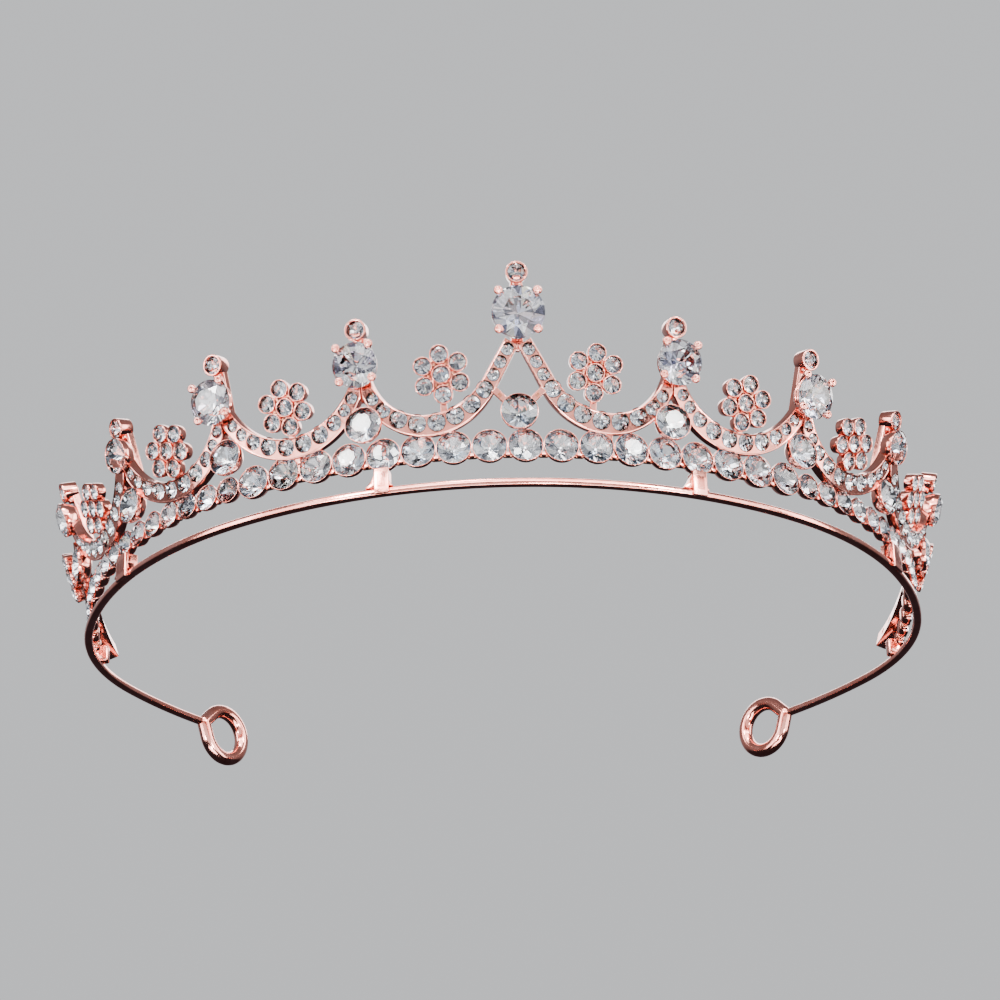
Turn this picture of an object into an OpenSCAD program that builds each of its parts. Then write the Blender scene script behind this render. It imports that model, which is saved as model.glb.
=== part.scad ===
// Bridal tiara: a wire headband with end loops, a rail of round stones above it,
// four leaning festoons and a tail each side, nine peaks and ten stone flowers.
// Millimetres. X to the wearer's left, the front faces -Y, the peaks point up +Z.

/* [Headband] */
// Radius of the arc across the forehead
front_radius = 70; // [60:0.5:80]
// Half angle of the forehead arc
front_angle = 34.8; // [30:0.1:40]
// Radius of the arcs over the temples
side_radius = 54.5; // [45:0.5:65]
// Angle of each temple arc
side_angle = 45.6; // [40:0.1:50]
// Radius of the tight turns behind the ears
turn_radius = 34.5; // [28:0.5:45]
// Angle of each tight turn
turn_angle = 41; // [35:0.5:48]
// Radius of the nearly straight back ends
back_radius = 82; // [70:1:100]
// Angle of each back end
back_angle = 12; // [8:0.5:16]
// Radial thickness of the band
band_thick = 1.3; // [1.1:0.05:2]
// Height of the band
band_high = 1.15; // [1:0.05:2]
// Edge chamfer of the band
band_chamfer = 0.3; // [0.1:0.05:0.4]

/* [End loops] */
// Radius of the loop's centreline
loop_radius = 4.1; // [3.5:0.1:5]
// Loop centre beyond the band's end
loop_reach = 5.3; // [4.5:0.1:6.5]
// Loop centre below the band's middle
loop_drop = 1.0; // [0:0.1:2]
// Radius of the loop's wire
loop_wire = 0.95; // [0.7:0.05:1.2]

/* [Posts] */
// Arc position of the front post on each side
post_front = [-19.2, 25.3];
// Arc position of the side posts
post_side = 66; // [60:0.5:72]
// Width of a front post
post_wide = 2.1; // [1.5:0.1:3]
// Width of a side post
post_side_wide = 3.0; // [2:0.1:4]

/* [Rail of stones] */
// Height of the rail's centre above the band's middle
rail_z = 5.9; // [5:0.1:8]
// Radial offset of the rail's stone plane from the band's middle
rail_out = -0.2; // [-1:0.1:1]
// Spacing of the large stones
rail_pitch = 5.0; // [4.5:0.1:5.5]
// Diameter of the large stones
rail_stone = 4.76; // [4:0.02:5]
// Large stones on each side of the middle one
rail_half = 8; // [6:1:9]
// Sideways shift of the whole row of stones
rail_shift = 0.8; // [0:0.1:2]
// Diameter of the small stones
small_stone = 3.68; // [3:0.02:4]
// Small stones on each side
small_count = 16; // [12:1:18]
// Metal between neighbouring stones
rail_gap = 0.24; // [0.1:0.02:0.4]

/* [Ornament] */
// Outward lean of everything above the rail
lean = 18.4; // [10:0.1:25]
// Arc position of the peaks
peak_at = [0, 21.4, 42.6, 62.6, 86.0];
// Height of the peaks' main stones
peak_z = [23.3, 18.0, 17.7, 17.2, 18.0];
// Diameter of the peaks' main stones
peak_stone = [7.5, 6.5, 6.5, 5.0, 5.0];
// Forward reach of the peaks' main stones
peak_out = [1.7, 1.7, 1.7, 0.7, 0.7];
// Height of the finials
finial_z = [29.1, 23.1, 23.1, 21.2, 22.2];
// Height of the stones under the peaks
under_z = [10.1, 9.9, 9.9, 9.7, 10.6];
// Diameter of the stones under the peaks
under_stone = 5.1; // [4.5:0.1:6]
// Diameter of the finial stones
finial_stone = 2.5; // [2:0.1:3]
// Outer radius of a finial's bezel
finial_rim = 1.6; // [1.4:0.05:2]
// Thickness of the festoon castings
cast_thick = 1.7; // [1.2:0.1:2.5]
// Width of a festoon at its ends
strip_end = 2.1; // [1.6:0.1:2.6]
// Extra width of a festoon at its lowest point
strip_swell = 0.8; // [0:0.1:1.5]

/* [Flowers] */
// Arc position of the flowers
flower_at = [10.3, 32.4, 52.7, 73.4, 94.5];
// Height of the flowers' centres
flower_z = [15.7, 14.5, 14.1, 13.8, 12.6];
// Turn of the flowers
flower_turn = [3, 8, 10, 6, 0];
// Distance of a petal from the flower's centre
petal_ring = 2.85; // [2.6:0.05:3.2]
// Outer radius of a petal's bezel
petal_rim = 1.37; // [1.2:0.01:1.5]
// Diameter of the petal stones
petal_stone = 2.3; // [2:0.05:2.6]

/* [Hidden] */
$fn = 48;
clear = 0.02;
seat = 0.12;                       // girdle below the metal's front face
lift = loop_drop + loop_radius + loop_wire;
y_mid = 42.14;                     // forehead arc to the middle of the depth
s_front = front_radius*front_angle*PI/180;
s_side = s_front + side_radius*side_angle*PI/180;
s_turn = s_side + turn_radius*turn_angle*PI/180;
s_end = s_turn + back_radius*back_angle*PI/180;
h_side = front_angle + side_angle;
h_turn = h_side + turn_angle;
h_end = h_turn + back_angle;
rose = [0.85, 0.60, 0.54];
clearstone = [0.93, 0.94, 0.97];

// Heading and place along the band's middle line, and along the ornament's,
// which keeps the temple arc to its end while the band turns in below it.
function step(r, h0, h1) = r*[sin(h1) - sin(h0), cos(h0) - cos(h1)];
function front_h(s) = s/front_radius*180/PI;
function side_h(s) = front_angle + (s - s_front)/side_radius*180/PI;
function turn_h(s) = h_side + (s - s_side)/turn_radius*180/PI;
function back_h(s) = h_turn + (s - s_turn)/back_radius*180/PI;
p_front = step(front_radius, 0, front_angle);
p_side = p_front + step(side_radius, front_angle, h_side);
p_turn = p_side + step(turn_radius, h_side, h_turn);
p_end = p_turn + step(back_radius, h_turn, h_end);
function orn_h(s) = s <= s_front ? front_h(s) : side_h(s);
function orn_p(s) = s <= s_front ? step(front_radius, 0, front_h(s))
    : p_front + step(side_radius, front_angle, side_h(s));
function band_h(s) = s <= s_side ? orn_h(s) : s <= s_turn ? turn_h(s) : back_h(s);
function band_p(s) = s <= s_side ? orn_p(s)
    : s <= s_turn ? p_side + step(turn_radius, h_side, turn_h(s))
    : p_turn + step(back_radius, h_turn, back_h(s));
function lean_out(z) = rail_out + (z - rail_z)*tan(lean);

// Places children on a path: +X runs along it, -Y faces outward.
module put(p, h, out, z) {
    translate([p[0] + out*sin(h), p[1] - out*cos(h), z]) rotate([0, 0, h]) children();
}
module on_band(s, out = 0, z = 0) {
    if (s < 0) mirror([1, 0, 0]) put(band_p(-s), band_h(-s), out, z) children();
    else put(band_p(s), band_h(s), out, z) children();
}
module on_rail(s, out, z) {
    if (s < 0) mirror([1, 0, 0]) put(orn_p(-s), orn_h(-s), out, z) children();
    else put(orn_p(s), orn_h(s), out, z) children();
}
module on_lean(s, z, out = 0) {
    on_rail(s, lean_out(z), z) rotate([lean, 0, 0]) translate([0, -out, 0]) children();
}
module left_or_right(side) {
    if (side < 0) mirror([1, 0, 0]) children();
    else children();
}
module row() {
    translate([0, -y_mid, lift]) children();
}
module facing() {
    rotate([90, 0, 0]) children();
}

// ---- stones and settings, girdle in the XZ plane, table facing -Y ----
module chaton(d) {
    facing() rotate_extrude()
        polygon([[0, -0.34*d], [0.1*d, -0.34*d], [0.5*d, -0.01*d], [0.5*d, 0.01*d],
                 [0.3*d, 0.13*d], [0, 0.13*d]]);
}
module brilliant(d) {
    facing() rotate_extrude()
        polygon([[0, -0.43*d], [0.5*d, -0.015*d], [0.5*d, 0.015*d],
                 [0.29*d, 0.16*d], [0, 0.16*d]]);
}
module cup_blank(d, rim, deep) {
    facing() translate([0, 0, -deep]) cylinder(h = deep + seat, r1 = 0.36*d + rim, r2 = 0.5*d + rim);
}
module cup_hollow(d) {
    facing() rotate_extrude()
        polygon([[0, -0.34*d - clear], [0.1*d + clear, -0.34*d - clear],
                 [0.5*d + clear, -0.01*d - clear], [0.5*d + clear, 1], [0, 1]]);
}
module pocket(d) {
    facing() translate([0, 0, -0.34*d - 0.03]) cylinder(h = 2, d = d + 2*clear);
}

// ---- headband ----
module band_section() {
    w = band_thick/2;
    h = band_high/2;
    c = band_chamfer;
    polygon([[w - c, -h], [w, -h + c], [w, h - c], [w - c, h],
             [-w + c, h], [-w, h - c], [-w, -h + c], [-w + c, -h]]);
}
module band_arc(p, h, r, a) {
    translate([p[0], p[1], 0]) rotate([0, 0, h - 90]) translate([-r, 0, 0])
        rotate_extrude(angle = a) translate([r, 0]) band_section();
}
module band_half() {
    band_arc([0, 0], 0, front_radius, front_angle);
    band_arc(p_front, front_angle, side_radius, side_angle);
    band_arc(p_side, h_side, turn_radius, turn_angle);
    band_arc(p_turn, h_turn, back_radius, back_angle);
}
module headband() {
    color(rose) row() {
        band_half();
        mirror([1, 0, 0]) band_half();
    }
}

// ---- end loops ----
module loop(side) {
    ahead = loop_reach - 0.8;
    far = norm([ahead, loop_drop]);
    open = acos(loop_radius/far);
    down = atan2(loop_drop, ahead);
    color(rose) row() left_or_right(side) on_band(s_end) difference() {
        union() {
            translate([loop_reach, 0, -loop_drop]) rotate([90, 0, 0]) rotate([0, 0, 180 - down + open])
                rotate_extrude(angle = 360 - 2*open) translate([loop_radius, 0]) circle(loop_wire);
            translate([0.8, 0, 0]) {
                sphere(loop_wire + 0.04);
                for (k = [-1, 1]) rotate([0, 90 + down - k*(90 - open), 0])
                    cylinder(h = sqrt(far*far - loop_radius*loop_radius) + 0.3, r = loop_wire - 0.04);
            }
        }
        translate([-4, -4, -4]) cube([4, 8, 8]);
    }
}

// ---- posts that hold the rail above the band ----
module post(s, wide) {
    h = band_high/2;
    w = band_thick/2;
    k = s < 0 ? 1 : -1;
    color(rose) row() on_band(s) difference() {
        union() {
            translate([-wide/2, -w - 0.5, -h]) cube([wide, band_thick + 0.9, h + 3.35]);
            translate([k*(wide/2 - 0.1), -0.5, 0]) facing() linear_extrude(0.9, center = true)
                polygon([[0, h], [k*1.5, h], [0, 2.9]]);
        }
        translate([-wide/2 - 3, -w - clear, -h - 1])
            cube([wide + 6, band_thick + 2*clear, band_high + 1 + clear]);
        translate([0, 0, rail_z]) facing() cylinder(h = 12, r = rail_stone/2 + 0.13, center = true);
    }
}

// ---- rail ----
function small_d(i) = small_stone*(1 - 0.055*max(0, i - 10));
function small_s(i) = i == 0
    ? rail_half*rail_pitch + (rail_pitch + small_stone + rail_gap)/2
    : small_s(i - 1) + (small_d(i) + small_d(i - 1))/2 + rail_gap;
function drop(s) = let (t = max(0, s - 84)/22.5) 4.1*t*t/(0.45 + 0.55*t);
function small_z(s) = rail_z - drop(s);
module cup(d) {
    difference() {
        cup_blank(d, 0.1, 0.42*d);
        cup_hollow(d);
    }
}
module link(wide, z) {
    translate([-wide/2, 0.1, z - 0.4]) cube([wide, 0.9, 0.8]);
}
module rail_front() {
    color(rose) row() {
        for (k = [-rail_half:rail_half])
            on_rail(k*rail_pitch + rail_shift, rail_out, rail_z) cup(rail_stone);
        for (k = [-rail_half:rail_half - 1])
            on_rail((k + 0.5)*rail_pitch + rail_shift, rail_out, rail_z) link(1.5, -1.3);
    }
}
module rail_side(side) {
    color(rose) row() {
        for (i = [0:small_count - 1])
            on_rail(side*small_s(i) + rail_shift, rail_out, small_z(small_s(i))) cup(small_d(i));
        for (i = [0:small_count - 2]) {
            s = (small_s(i) + small_s(i + 1))/2;
            on_rail(side*s + rail_shift, rail_out, small_z(s)) link(1.5, -0.25*small_d(i));
        }
        s = small_s(small_count - 1) + small_d(small_count - 1)/2 + 0.3;
        on_rail(side*s + rail_shift, rail_out, band_high/2 - clear)
            translate([-2.1, 0.1, 0]) cube([1.8, 2.2, small_z(s) - band_high/2 + 0.5]);
    }
}
module rail_stones_front() {
    color(clearstone) row() for (k = [-rail_half:rail_half])
        on_rail(k*rail_pitch + rail_shift, rail_out, rail_z) chaton(rail_stone);
}
module rail_stones_side(side) {
    color(clearstone) row() for (i = [0:small_count - 1])
        on_rail(side*small_s(i) + rail_shift, rail_out, small_z(small_s(i))) chaton(small_d(i));
}

// ---- festoons: arc position and height of the low point, radii each side ----
bay_s = [12.7, 31.9, 52.5, 74.3];
bay_z = [9.35, 9.2, 8.9, 8.9];
bay_r0 = [10.2, 10.9, 10.4, 11.9];
bay_r1 = [8.4, 10.9, 10.4, 11.9];
bay_a0 = [60, 66, 67, 64];
bay_a1 = [72, 66, 67, 64];
rise = 6.1;                        // straight run up to the middle peak
tail_r = 38;
tail_c = [111.8, 42.5];
tail_a = [-130.5, -97.5];

// Point on festoon b at length l from its low point: [arc position, height, slope]
function bay_pt(b, l) = let (r = l < 0 ? bay_r0[b] : bay_r1[b],
        a = l/r*180/PI, m = b == 0 ? max(a, -bay_a0[0]) : a, e = (a - m)*r*PI/180)
    [bay_s[b] + r*sin(m) + e*cos(m), bay_z[b] + r*(1 - cos(m)) + e*sin(m), m];
function tail_pt(a) = [tail_c[0] + tail_r*cos(a), tail_c[1] + tail_r*sin(a), a + 90];

// Stones of one festoon: diameters from its low point outward, each way.
run_a0 = [2.5, 2.5, 2.5, 2.4, 1.75, 1.75, 1.75];
run_a1 = [2.5, 2.5, 2.1, 1.8];
run_b = [2.5, 2.5, 2.2, 1.75, 1.65];
function run(b, up) = b == 0 ? (up ? run_a1 : run_a0) : run_b;
function run_l(v, i) = i == 0 ? 0.1 + v[0]/2 : run_l(v, i - 1) + (v[i] + v[i - 1])/2 + 0.2;

module ring_part(r, a, swell, up) {
    intersection() {
        translate([0, r]) difference() {
            translate([0, -swell/2]) circle(r + strip_end/2 + swell/2 - 0.1);
            circle(r - strip_end/2 - 0.1);
        }
        polygon(up ? [[0, -40], [30, -40], [30, r + 30*tan(a - 90)], [0, r]]
            : [[0, -40], [0, r], [-30, r + 30*tan(a - 90)], [-30, -40]]);
    }
}
module bay_outline(b) {
    ring_part(bay_r0[b], bay_a0[b], strip_swell, false);
    ring_part(bay_r1[b], bay_a1[b], strip_swell, true);
    if (b == 0)
        translate([-bay_r0[0]*sin(bay_a0[0]), bay_r0[0]*(1 - cos(bay_a0[0]))]) rotate(-bay_a0[0])
            polygon([[0.6, -strip_end/2 - 0.1], [0.6, strip_end/2 - 0.1],
                     [-rise - 0.6, strip_end/2 - 0.1], [-rise - 0.6, -strip_end/2 + 0.1]]);
}
function arc_centre(front) = front ? [0, front_radius]
    : [p_front[0] - side_radius*sin(front_angle), p_front[1] + side_radius*cos(front_angle)];
module lean_shell(r, z0, z1, thick) {
    t = thick/cos(lean);
    rotate_extrude($fn = 360) polygon([[r + lean_out(z0) - t, z0], [r + lean_out(z0), z0],
                              [r + lean_out(z1), z1], [r + lean_out(z1) - t, z1]]);
}
module orn_shell(front, z0, z1, thick) {
    c = arc_centre(front);
    translate([c[0], c[1], 0]) lean_shell(front ? front_radius : side_radius, z0, z1, thick);
}
module festoon(b, side) {
    s0 = peak_at[b];
    s1 = peak_at[b + 1];
    sm = bay_s[b];
    front = b < 2;
    r = front ? front_radius : side_radius;
    color(rose) row() left_or_right(side) difference() {
        intersection() {
            orn_shell(front, 6.5, 20.4, cast_thick);
            on_rail(sm, 0, bay_z[b]) translate([0, 6, 0]) facing() linear_extrude(16)
                intersection() {
                    bay_outline(b);
                    translate([s0 - sm + 0.03, -4]) square([s1 - s0 - 0.06, 30]);
                }
        }
        for (up = [0, 1]) for (i = [0:len(run(b, up == 1)) - 1]) {
            v = run(b, up == 1);
            p = bay_pt(b, (up == 1 ? 1 : -1)*run_l(v, i));
            on_lean(p[0], p[1], -seat) pocket(v[i]);
        }
        for (i = [b, b + 1]) on_under(i) cup_blank(under_stone + 0.1, 0.1, 4);
        rail_room(front, r);
    }
    if (b == 0) color(rose) row() left_or_right(side) difference() {
        on_lean(3.1, 12.5, -0.55) rotate([0, -40, 0]) translate([-1.5, -0.4, -0.5]) cube([2.1, 0.9, 1.0]);
        on_under(0) cup_blank(under_stone + 0.1, 0.1, 4);
    }
}
module rail_room(front, r) {
    c = arc_centre(front);
    translate([c[0], c[1], 0]) rotate_extrude($fn = 360)
        translate([r - 4, 0]) square([4 + rail_out + seat + 0.06, rail_z + rail_stone/2 + 0.14]);
}
module tail(side) {
    sm = 97;
    color(rose) row() left_or_right(side) difference() {
        intersection() {
            orn_shell(false, 2, 15, cast_thick);
            on_rail(sm, 0, 0) translate([0, 6, 0]) facing() linear_extrude(16)
                intersection() {
                    translate([tail_c[0] - sm, tail_c[1]]) difference() {
                        circle(tail_r + 1.25);
                        circle(tail_r - 1.15);
                    }
                    polygon([[peak_at[4] - sm + 0.03, 20], [peak_at[4] - sm + 0.03, 9.5],
                             [9.5, 1], [9.5, 8]]);
                }
        }
        for (i = [0:6]) tail_stone(i) pocket(tail_d(i));
        on_under(4) cup_blank(under_stone + 0.1, 0.1, 4);
    }
}
function tail_d(i) = 2.3 - 0.06*i;
module tail_stone(i) {
    p = tail_pt(tail_a[0] + 2.2 + i*(tail_a[1] - tail_a[0] - 3.2)/6.6);
    on_lean(p[0], p[1], -seat) children();
}
module pave_stones(side) {
    color(clearstone) row() left_or_right(side) {
        for (b = [0:3]) for (up = [0, 1]) for (i = [0:len(run(b, up == 1)) - 1]) {
            v = run(b, up == 1);
            p = bay_pt(b, (up == 1 ? 1 : -1)*run_l(v, i));
            on_lean(p[0], p[1], -seat) chaton(v[i]);
        }
        for (i = [0:6]) tail_stone(i) chaton(tail_d(i));
    }
}

// ---- stones under the peaks ----
module on_under(i) {
    on_rail(peak_at[i], lean_out(under_z[i]) + 0.75, under_z[i]) rotate([3, 0, 0]) children();
}
module both(i) {
    children();
    if (i > 0) mirror([1, 0, 0]) children();
}
module under_cups() {
    color(rose) row() for (i = [0:4]) both(i) on_under(i) difference() {
        cup_blank(under_stone, 0.1, 0.38*under_stone);
        cup_hollow(under_stone);
    }
}
module under_stones() {
    color(clearstone) row() for (i = [0:4]) both(i) on_under(i) chaton(under_stone);
}

// ---- peaks ----
module stem(i, side) {
    z0 = i == 0 ? 18.6 : 13.4;
    z1 = finial_z[i];
    f = -cast_thick - 0.02;
    tall = (z1 - z0)/cos(lean);
    color(rose) row() left_or_right(side) difference() {
        on_lean(peak_at[i], z1) {
            translate([-0.9, -f, -tall]) cube([1.8, 1.3, tall - 0.6]);
            facing() translate([0, 0, f - 1.3])
                cylinder(h = 1.3 - f - 0.5, r1 = finial_rim - 0.25, r2 = finial_rim);
        }
        on_lean(peak_at[i], z1, -0.5 - seat - 0.12) pocket(finial_stone);
    }
}
module finial_stones() {
    color(clearstone) row() for (i = [0:4]) both(i)
        on_lean(peak_at[i], finial_z[i], -0.5 - seat - 0.12) chaton(finial_stone);
}
module on_peak(i) {
    on_lean(peak_at[i], peak_z[i], peak_out[i]) children();
}
module basket(i, side) {
    d = peak_stone[i];
    deep = peak_out[i] + cast_thick + 0.02;
    color(rose) row() left_or_right(side) on_peak(i) difference() {
        union() {
            facing() translate([0, 0, -deep]) cylinder(h = 0.7, r = 0.2*d);
            facing() translate([0, 0, -0.22*d])
                rotate_extrude() translate([0.385*d, 0]) circle(0.38, $fn = 24);
            for (a = [45:90:315]) rotate([0, a, 0]) {
                t = atan2(0.53*d - 0.16*d, deep - 0.35);
                translate([0.16*d, deep - 0.35, 0]) rotate([90, 0, t])
                    cylinder(h = (deep - 0.35)/cos(t) + 0.2, r = 0.42);
                translate([0.54*d, -0.3, 0]) sphere(0.56);
            }
        }
        brilliant(d + 0.04);
    }
}
module brilliant_centre() {
    color(clearstone) row() on_peak(0) brilliant(peak_stone[0]);
}
module brilliants_side() {
    color(clearstone) row() for (i = [1, 2]) both(i) on_peak(i) brilliant(peak_stone[i]);
}
module peak_cups() {
    color(rose) row() for (i = [3, 4]) both(i) on_peak(i) difference() {
        cup_blank(peak_stone[i], 0.1, peak_out[i] + cast_thick);
        cup_hollow(peak_stone[i]);
    }
}
module peak_stones() {
    color(clearstone) row() for (i = [3, 4]) both(i) on_peak(i) chaton(peak_stone[i]);
}

// ---- flowers ----
module petals(b) {
    children();
    for (k = [0:5]) rotate([0, -flower_turn[b] - 60*k, 0]) translate([0, 0, petal_ring]) children();
}
module on_flower(b) {
    on_lean(flower_at[b], flower_z[b], 0.3 + (b == 4 ? 0.9 : 0)) children();
}
module flower(b, side) {
    deep = 1.5;
    foot = flower_z[b] - (b < 4 ? bay_pt(b, flower_at[b] - bay_s[b])[1] : 8.0) - 0.8;
    color(rose) row() left_or_right(side) difference() {
        on_flower(b) {
            facing() translate([0, 0, -deep]) cylinder(h = 0.5, r = petal_ring - 0.2);
            petals(b) facing() translate([0, 0, -deep])
                cylinder(h = deep, r1 = petal_rim - 0.2, r2 = petal_rim);
            translate([-0.5, deep - 0.55, -foot/cos(lean)]) cube([1.0, 0.55, foot/cos(lean) - 1.5]);
        }
        on_flower(b) petals(b) translate([0, seat, 0]) pocket(petal_stone);
    }
}
module flower_stones(side) {
    color(clearstone) row() left_or_right(side) for (b = [0:4])
        on_flower(b) petals(b) translate([0, seat, 0]) chaton(petal_stone);
}

headband();
loop(-1);  // loop_left
loop(1);  // loop_right
post(post_front[0], post_wide);  // post_front_left
post(post_front[1], post_wide);  // post_front_right
post(-post_side, post_side_wide);  // post_side_left
post(post_side, post_side_wide);  // post_side_right
rail_front();
rail_side(-1);  // rail_left
rail_side(1);  // rail_right
rail_stones_front();
rail_stones_side(-1);  // rail_stones_left
rail_stones_side(1);  // rail_stones_right
festoon(0, -1);  // festoon_a_left
festoon(1, -1);  // festoon_b_left
festoon(2, -1);  // festoon_c_left
festoon(3, -1);  // festoon_d_left
tail(-1);  // tail_left
festoon(0, 1);  // festoon_a_right
festoon(1, 1);  // festoon_b_right
festoon(2, 1);  // festoon_c_right
festoon(3, 1);  // festoon_d_right
tail(1);  // tail_right
pave_stones(-1);  // pave_stones_left
pave_stones(1);  // pave_stones_right
under_cups();
under_stones();
stem(0, 1);  // stem_centre
stem(1, -1);  // stem_1_left
stem(1, 1);  // stem_1_right
stem(2, -1);  // stem_2_left
stem(2, 1);  // stem_2_right
stem(3, -1);  // stem_3_left
stem(3, 1);  // stem_3_right
stem(4, -1);  // stem_4_left
stem(4, 1);  // stem_4_right
finial_stones();
basket(0, 1);  // basket_centre
basket(1, -1);  // basket_1_left
basket(1, 1);  // basket_1_right
basket(2, -1);  // basket_2_left
basket(2, 1);  // basket_2_right
brilliant_centre();
brilliants_side();
peak_cups();
peak_stones();
flower(0, -1);  // flower_a_left
flower(1, -1);  // flower_b_left
flower(2, -1);  // flower_c_left
flower(3, -1);  // flower_d_left
flower(4, -1);  // flower_e_left
flower(0, 1);  // flower_a_right
flower(1, 1);  // flower_b_right
flower(2, 1);  // flower_c_right
flower(3, 1);  // flower_d_right
flower(4, 1);  // flower_e_right
flower_stones(-1);  // flower_stones_left
flower_stones(1);  // flower_stones_right
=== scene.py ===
"""Looks of the bridal tiara: every CAD node is stood for by a detailed mesh built here from the same plan,
in metres and in the CAD frame (+X viewer's right, -Y front, +Z up). Lengths below are in millimetres."""
import math
import random

import bpy
import numpy as np
from mathutils import Matrix, Vector
from mathutils.geometry import delaunay_2d_cdt


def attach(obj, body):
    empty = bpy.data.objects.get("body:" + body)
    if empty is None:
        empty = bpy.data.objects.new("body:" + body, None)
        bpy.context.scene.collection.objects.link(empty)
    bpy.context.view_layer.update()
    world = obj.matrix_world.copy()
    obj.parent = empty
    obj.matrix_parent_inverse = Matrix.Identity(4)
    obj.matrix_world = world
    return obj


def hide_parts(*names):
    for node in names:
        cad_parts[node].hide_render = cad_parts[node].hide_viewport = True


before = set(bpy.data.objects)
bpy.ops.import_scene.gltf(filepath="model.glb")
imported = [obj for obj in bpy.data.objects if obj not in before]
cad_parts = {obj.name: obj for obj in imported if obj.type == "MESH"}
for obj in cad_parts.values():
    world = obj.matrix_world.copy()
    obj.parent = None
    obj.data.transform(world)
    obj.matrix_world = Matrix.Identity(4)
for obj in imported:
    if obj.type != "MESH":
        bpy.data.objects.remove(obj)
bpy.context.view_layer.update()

MM = 0.001
rng = random.Random(7)

# ------------------------------------------------------------------ plan, as in the CAD source
ARCS = [(70.0, 34.8), (54.5, 45.6), (34.5, 41.0), (82.0, 12.0)]
ORNAMENT = ARCS[:2]
Y_MID, LIFT = 42.14, 6.05
RAIL_Z, RAIL_OUT, LEAN = 5.9, -0.2, 18.4
PITCH, RAIL_D, RAIL_HALF, SHIFT = 5.0, 4.76, 8, 0.8
SMALL_D, SMALL_N, GAP = 3.68, 16, 0.24
SEAT, CAST = 0.12, 1.7
PEAK_S = [0, 21.4, 42.6, 62.6, 86.0]
PEAK_Z = [23.3, 18.0, 17.7, 17.2, 18.0]
PEAK_D = [7.5, 6.5, 6.5, 5.0, 5.0]
PEAK_OUT = [1.7, 1.7, 1.7, 0.7, 0.7]
FINIAL_Z = [29.1, 23.1, 23.1, 21.2, 22.2]
UNDER_Z = [10.1, 9.9, 9.9, 9.7, 10.6]
UNDER_D = 5.1
BAY_S = [12.7, 31.9, 52.5, 74.3]
BAY_Z = [9.35, 9.2, 8.9, 8.9]
BAY_R0 = [10.2, 10.9, 10.4, 11.9]
BAY_R1 = [8.4, 10.9, 10.4, 11.9]
BAY_A0 = [60, 66, 67, 64]
BAY_A1 = [72, 66, 67, 64]
RISE = 6.1
TAIL_C, TAIL_R, TAIL_A = (111.8, 42.5), 38.0, (-130.5, -97.5)
FLOWER_S = [10.3, 32.4, 52.7, 73.4, 94.5]
FLOWER_Z = [15.7, 14.5, 14.1, 13.8, 12.6]
FLOWER_TURN = [3, 8, 10, 6, 0]
PETAL_RING, PETAL_RIM, PETAL_D = 2.85, 1.37, 2.3
POST_S, POST_W = (-19.2, 25.3), 2.1
POST_SIDE_S, POST_SIDE_W = 66.0, 3.0
BAND_W, BAND_H = 1.3, 1.15
LOOP_R, LOOP_REACH, LOOP_DROP, LOOP_WIRE = 3.94, 5.27, 1.0, 1.10


def arc_point(s, arcs):
    """x, y and heading at length s along a chain of arcs, the last of which goes on past its end."""
    x = y = h = 0.0
    for i, (r, a) in enumerate(arcs):
        a = math.radians(a)
        last = i == len(arcs) - 1 or s <= r * a
        t = s / r if last else a
        x += r * (math.sin(h + t) - math.sin(h))
        y += r * (math.cos(h) - math.cos(h + t))
        h += t
        if last:
            return x, y, h
        s -= r * a


def place_at(s, arcs=ORNAMENT):
    """The same for a length that is negative on the viewer's left."""
    x, y, h = arc_point(abs(s), arcs)
    return (-x, y, -h) if s < 0 else (x, y, h)


def stand(s, z, out=0.0, tilt=0.0, reach=0.0, arcs=ORNAMENT):
    """Matrix of a place at arc length s (negative on the viewer's left) and height z: X along, -Y outward."""
    x, y, h = place_at(s, arcs)
    p = Vector((x + out * math.sin(h), y - out * math.cos(h) - Y_MID, z + LIFT))
    return (Matrix.Translation(p) @ Matrix.Rotation(h, 4, "Z") @ Matrix.Rotation(math.radians(tilt), 4, "X")
            @ Matrix.Translation((0, -reach, 0)))


def lean_out(z):
    return RAIL_OUT + (z - RAIL_Z) * math.tan(math.radians(LEAN))


def leaning(s, z, reach=0.0):
    return stand(s, z, lean_out(z), LEAN, reach)


def lean_points(sz, y, side):
    """Points at depth y behind the leaning face, from (s, z) pairs on the right-hand side."""
    c, k = math.cos(math.radians(LEAN)), math.sin(math.radians(LEAN))
    out = []
    for s, z in sz:
        x, yy, h = place_at(s)
        o = lean_out(z) - y * c
        out.append((side * (x + o * math.sin(h)), yy - o * math.cos(h) - Y_MID, z + y * k + LIFT))
    return np.array(out)


def side_name(side):
    return "left" if side < 0 else "right"


def peak_name(i, side):
    return "centre" if i == 0 else f"{i}_{side_name(side)}"


def whole_length():
    """Length of the band from its middle to one end."""
    return sum(r * math.radians(a) for r, a in ARCS)


def small_d(i):
    """Diameter of small chain stone i, which tapers towards the end of the chain."""
    return SMALL_D * (1 - 0.055 * max(0, i - 10))


def small_s(i):
    if i == 0:
        return RAIL_HALF * PITCH + (PITCH + SMALL_D + GAP) / 2
    return small_s(i - 1) + (small_d(i) + small_d(i - 1)) / 2 + GAP


def small_z(s):
    t = max(0.0, s - 84) / 22.5
    return RAIL_Z - 4.1 * t * t / (0.45 + 0.55 * t)


def bay_point(b, l):
    """Centre line of festoon b at length l from its low point: arc position, height, slope in degrees."""
    r = BAY_R0[b] if l < 0 else BAY_R1[b]
    a = l / r
    m = max(a, -math.radians(BAY_A0[0])) if b == 0 else a
    e = (a - m) * r
    return (BAY_S[b] + r * math.sin(m) + e * math.cos(m),
            BAY_Z[b] + r * (1 - math.cos(m)) + e * math.sin(m), m)


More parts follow.
